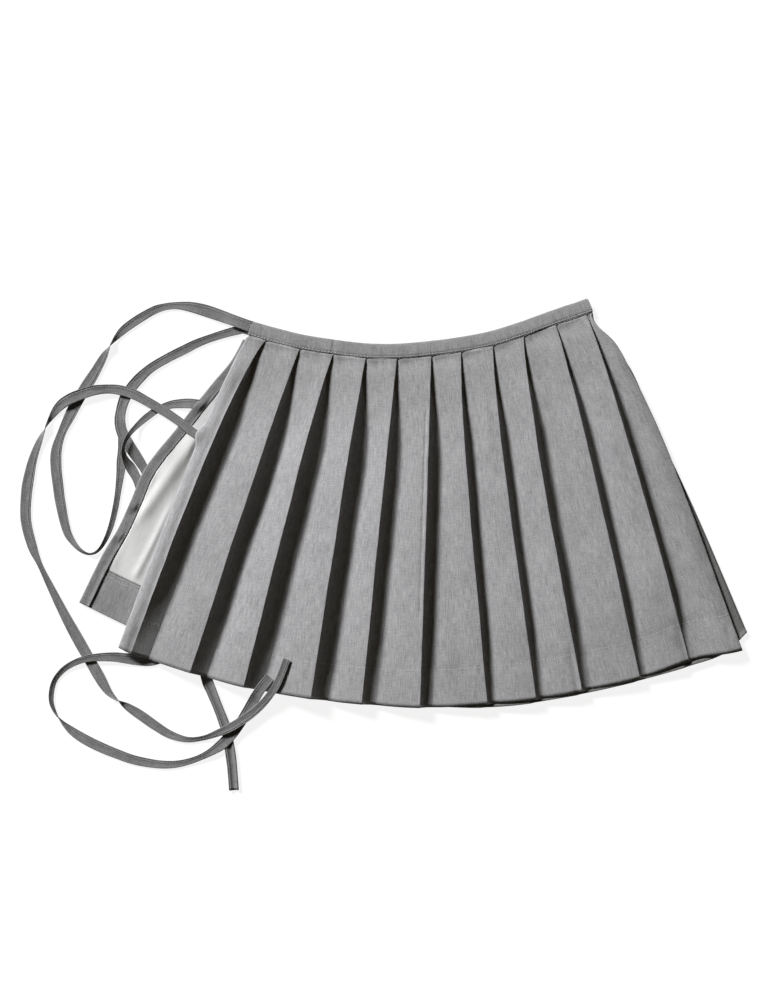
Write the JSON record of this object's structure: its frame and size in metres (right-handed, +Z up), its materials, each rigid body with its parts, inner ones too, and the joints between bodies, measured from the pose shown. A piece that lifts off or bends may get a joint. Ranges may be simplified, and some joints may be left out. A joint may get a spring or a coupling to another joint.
{
  "type": "pleated wrap skirt laid flat",
  "caption": "Layered linen wrap skirt laid flat: curved waistband, knife-pleated front over an under panel with lining and bound edge, and long flat ties",
  "frame": {"origin": "on the surface the skirt lies on, under the middle of its bounding box without the ties", "axes": "X to the right across the hips, Y from the hem towards the waist, Z up from the surface"},
  "size_m": [0.802, 0.5433, 0.0206],
  "materials": {
    "linen": "matt mottled grey plain-weave linen",
    "lining": "smooth pale grey lining cloth"
  },
  "bodies": {
    "root": {"front_waistband": "linen", "back_waistband": "linen", "front_panel": "linen", "back_panel": "linen", "lining": "lining", "hem_facing": "linen", "edge_binding": "linen", "tie_a": "linen", "tie_b": "linen", "tie_c": "linen", "tie_d": "linen"}
  },
  "joints": []
}
